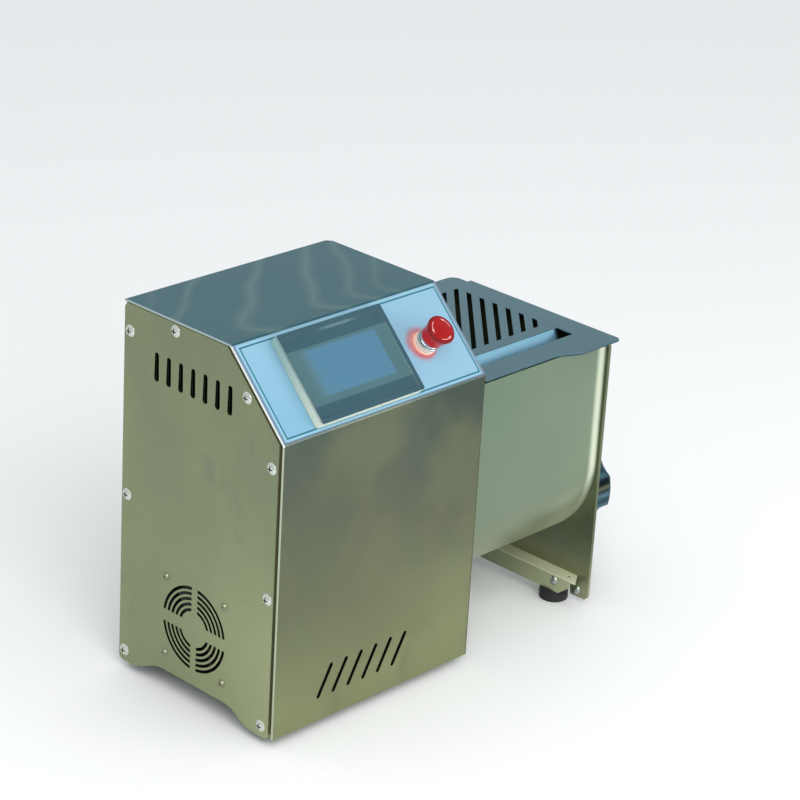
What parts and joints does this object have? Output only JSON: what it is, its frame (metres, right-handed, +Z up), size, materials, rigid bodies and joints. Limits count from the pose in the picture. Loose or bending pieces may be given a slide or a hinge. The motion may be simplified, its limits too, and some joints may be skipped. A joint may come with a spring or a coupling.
{
  "type": "electric pasta maker",
  "caption": "Countertop pasta extruder: box housing with a sloping touchscreen panel, U-shaped mixing hopper with slotted cover, lobed ring nut on the end plate.",
  "frame": {"origin": "on the ground plane under the feet, at the middle of the machine's length and depth", "axes": "+X along the machine from the drive housing to the extruder, +Y from the front sheet to the back, +Z up"},
  "size_m": [0.4682, 0.2084, 0.3409],
  "materials": {
    "satin_steel": "satin, fine grain",
    "rail_steel": "satin, slightly warm",
    "hopper_steel": "satin, fine grain",
    "cover_steel": "satin, bluish",
    "plated_steel": "bright zinc plate",
    "ground_steel": "ground",
    "paddle_steel": "polished",
    "gear_steel": "cut, lightly oiled",
    "polished_nut": "polished",
    "bright_collar": "bright",
    "cast_aluminium": "cast",
    "plate_aluminium": "milled",
    "supply_case": "pressed sheet",
    "bronze": "turned",
    "motor_paint": "semi-matte",
    "blue_film": "glossy printed film",
    "slate_frame": "satin",
    "screen_glass": "glossy",
    "black_plastic": "matte",
    "grey_plastic": "matte",
    "red_plastic": "glossy",
    "green_board": "lacquered",
    "black_rubber": "matte"
  },
  "bodies": {
    "housing": {"left_side_panel": "satin_steel", "inner_side_panel": "satin_steel", "main_cover": "satin_steel", "rear_panel": "satin_steel", "base_plate": "satin_steel", "left_foot_rail": "rail_steel", "end_foot_rail": "rail_steel", "rubber_feet": "black_rubber", "foot_bolts": "plated_steel", "left_panel_screws": "plated_steel", "inner_panel_screws": "plated_steel", "end_plate_screws": "plated_steel", "rail_screws": "plated_steel", "control_overlay": "blue_film", "touchscreen_frame": "slate_frame", "touchscreen_glass": "screen_glass", "touchscreen_case": "black_plastic", "stop_collar": "bright_collar", "stop_lock_nut": "plated_steel", "stop_contact_block": "grey_plastic", "fan_frame": "black_plastic", "fan_screws": "plated_steel", "fan_nuts": "plated_steel", "gear_motor": "motor_paint", "gearbox": "cast_aluminium", "bearing_plate": "plate_aluminium", "plate_spacers": "plated_steel", "gearbox_screws": "plated_steel", "shaft_bushes": "bronze", "bearing_blocks": "cast_aluminium", "shaft_seals": "black_rubber", "hopper_trough": "hopper_steel", "end_plate": "satin_steel", "cover_buffers": "black_rubber", "hinge_leaves": "ground_steel", "hinge_pins": "plated_steel", "mixer_end_bush": "bronze", "extruder_barrel": "ground_steel", "barrel_flange": "ground_steel", "barrel_screws": "plated_steel", "shaping_die": "bronze", "controller_board": "green_board", "board_standoffs": "bronze", "power_supply": "supply_case", "power_inlet": "black_plastic", "switch_frame": "black_plastic"},
    "auger_drive": {"output_shaft": "ground_steel", "drive_gear": "gear_steel", "drive_sleeve": "ground_steel", "auger_screw": "paddle_steel"},
    "mixer": {"mixer_gear": "gear_steel", "mixer_shaft": "ground_steel", "mixing_paddles": "paddle_steel"},
    "fan": {"fan_impeller": "grey_plastic"},
    "cover": {"hopper_cover": "cover_steel", "cover_knuckles": "ground_steel"},
    "stop_plunger": {"stop_plunger": "black_plastic"},
    "stop_head": {"stop_head": "red_plastic"},
    "nut": {"ring_nut": "polished_nut"},
    "rocker": {"switch_rocker": "red_plastic"}
  },
  "joints": [
    {"name": "cover_hinge", "type": "hinge", "parent": "housing", "child": "cover", "pos_m": [0.08255, 0.10025, 0.2613], "axis": [-1, 0, 0], "range_deg": [0, 100]},
    {"name": "stop_press", "type": "slide", "parent": "housing", "child": "stop_plunger", "axis": [0, 0.7071, -0.7071], "range_m": [0, 0.004], "stiffness_N_per_m": 1500},
    {"name": "stop_twist", "type": "hinge", "parent": "stop_plunger", "child": "stop_head", "pos_m": [-0.0457, -0.06639, 0.30416], "axis": [0, 0.7071, -0.7071], "range_deg": [0, 45], "stiffness_Nm_per_rad": 0.05},
    {"name": "auger_spin", "type": "hinge", "parent": "housing", "child": "auger_drive", "pos_m": [-0.0007, -0.00025, 0.0838], "axis": [1, 0, 0], "continuous": true},
    {"name": "mixer_spin", "type": "hinge", "parent": "housing", "child": "mixer", "pos_m": [-0.0007, -0.00025, 0.1738], "axis": [1, 0, 0], "continuous": true},
    {"name": "fan_spin", "type": "hinge", "parent": "housing", "child": "fan", "pos_m": [-0.2177, 0.00215, 0.0724], "axis": [1, 0, 0], "continuous": true},
    {"name": "nut_turn", "type": "hinge", "parent": "housing", "child": "nut", "pos_m": [0.2083, -0.00025, 0.0838], "axis": [1, 0, 0], "continuous": true},
    {"name": "switch_rock", "type": "hinge", "parent": "housing", "child": "rocker", "pos_m": [-0.1317, 0.09425, 0.0693], "axis": [0, 0, 1], "range_deg": [0, 20]}
  ],
  "couplings": [
    {"joint": "mixer_spin", "follows": "auger_spin", "ratio": -0.5}
  ]
}
